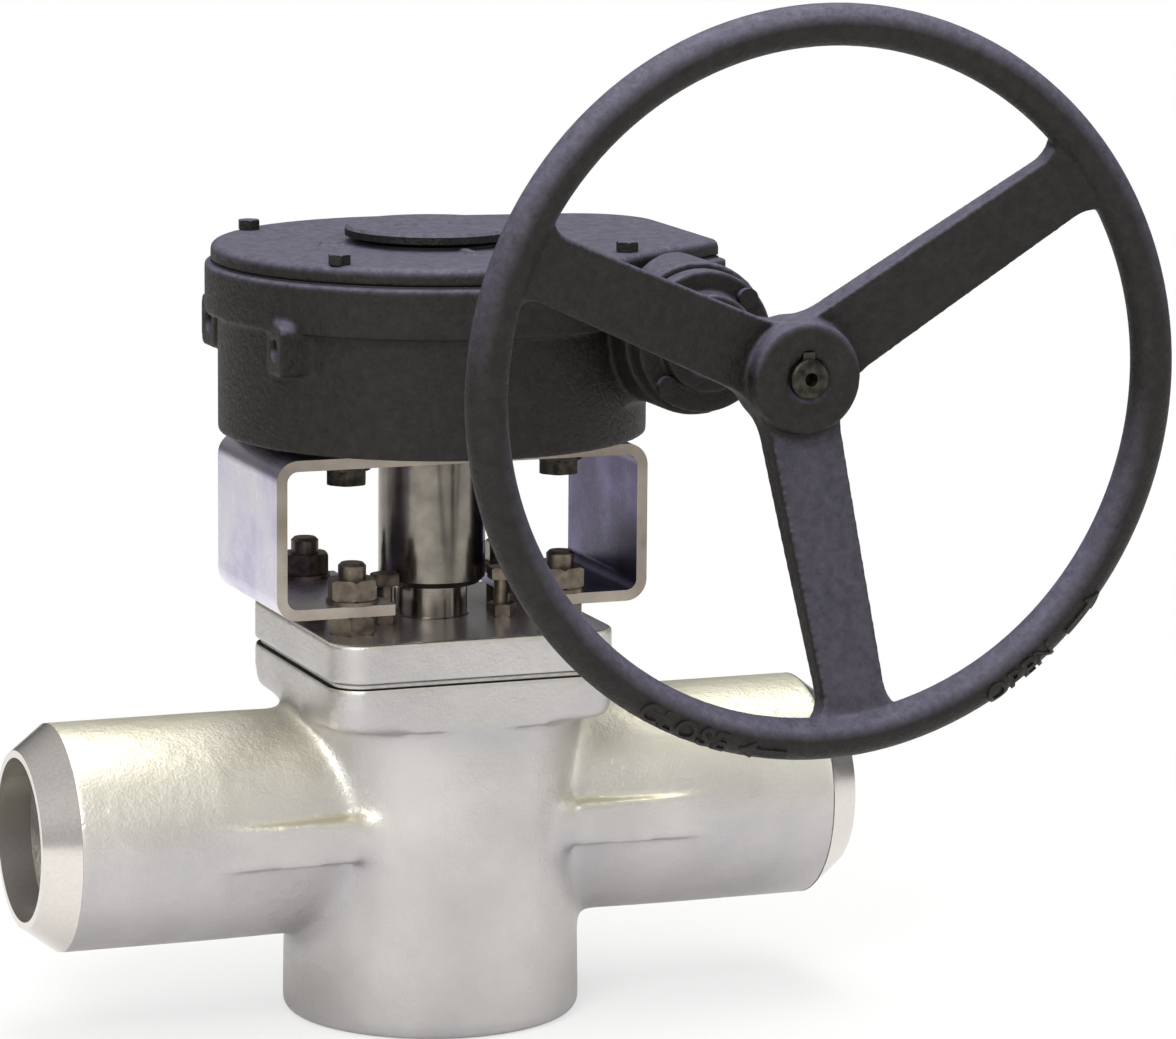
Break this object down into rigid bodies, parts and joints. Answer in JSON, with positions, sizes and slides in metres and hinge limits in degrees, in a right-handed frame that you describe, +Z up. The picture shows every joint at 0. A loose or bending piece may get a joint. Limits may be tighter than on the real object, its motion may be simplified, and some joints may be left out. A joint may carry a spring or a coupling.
{
  "type": "plug valve",
  "caption": "Quarter-turn plug valve with butt-weld ends, a worm gearbox on a bent bracket and a spoked handwheel.",
  "frame": {"origin": "centre of the valve body's flat bottom, on the stem axis", "axes": "+Z up the stem, +X along the flow, -Y towards the handwheel"},
  "size_m": [0.4935, 0.405, 0.5315],
  "materials": {
    "cast_stainless": "bead-blasted stainless casting",
    "ptfe": "plain white PTFE",
    "turned_steel": "bright turned steel",
    "zinc_plate": "zinc plated, faint violet tint",
    "dark_fastener": "dark plated fasteners",
    "black_cast_iron": "sand-cast iron with charcoal black paint",
    "bronze": "cast bronze",
    "seal_rubber": "black nitrile rubber"
  },
  "bodies": {
    "valve": {"body": "cast_stainless", "sleeve": "ptfe", "ptfe_diaphragm": "ptfe", "metal_diaphragm": "turned_steel", "stem_seal": "ptfe", "thrust_collar": "turned_steel", "bonnet": "cast_stainless", "adjuster_bolts": "dark_fastener", "adjuster_nuts": "dark_fastener", "bonnet_studs": "dark_fastener", "bonnet_nuts": "dark_fastener", "bracket_washers": "dark_fastener", "bracket_nuts": "dark_fastener", "bracket": "zinc_plate", "gearbox_bolts": "dark_fastener", "gearbox_washers": "dark_fastener", "gear_housing": "black_cast_iron", "housing_gasket": "seal_rubber", "housing_cover": "black_cast_iron", "cover_screws": "dark_fastener", "lower_bush": "bronze", "upper_bush": "bronze", "front_bearing": "turned_steel", "rear_bearing": "turned_steel", "front_cap": "black_cast_iron", "rear_cap": "black_cast_iron", "front_cap_screws": "dark_fastener", "rear_cap_screws": "dark_fastener", "shaft_seal": "seal_rubber", "stop_screws": "dark_fastener"},
    "plug_train": {"plug": "turned_steel", "coupling": "turned_steel", "stem_key": "dark_fastener", "wheel_key": "dark_fastener", "worm_wheel": "bronze", "indicator_disc": "black_cast_iron", "indicator_screws": "dark_fastener"},
    "worm_train": {"worm_shaft": "turned_steel", "handwheel": "black_cast_iron", "handwheel_key": "dark_fastener", "handwheel_screw": "dark_fastener"}
  },
  "joints": [
    {"name": "handwheel_spin", "type": "hinge", "parent": "valve", "child": "worm_train", "pos_m": [0.1, 0, 0.354], "axis": [0, 1, 0], "range_deg": [0, 3600]},
    {"name": "plug_turn", "type": "hinge", "parent": "valve", "child": "plug_train", "pos_m": [0, 0, 0], "axis": [0, 0, -1], "range_deg": [0, 90]}
  ],
  "couplings": [
    {"joint": "plug_turn", "follows": "handwheel_spin", "ratio": 0.025}
  ]
}
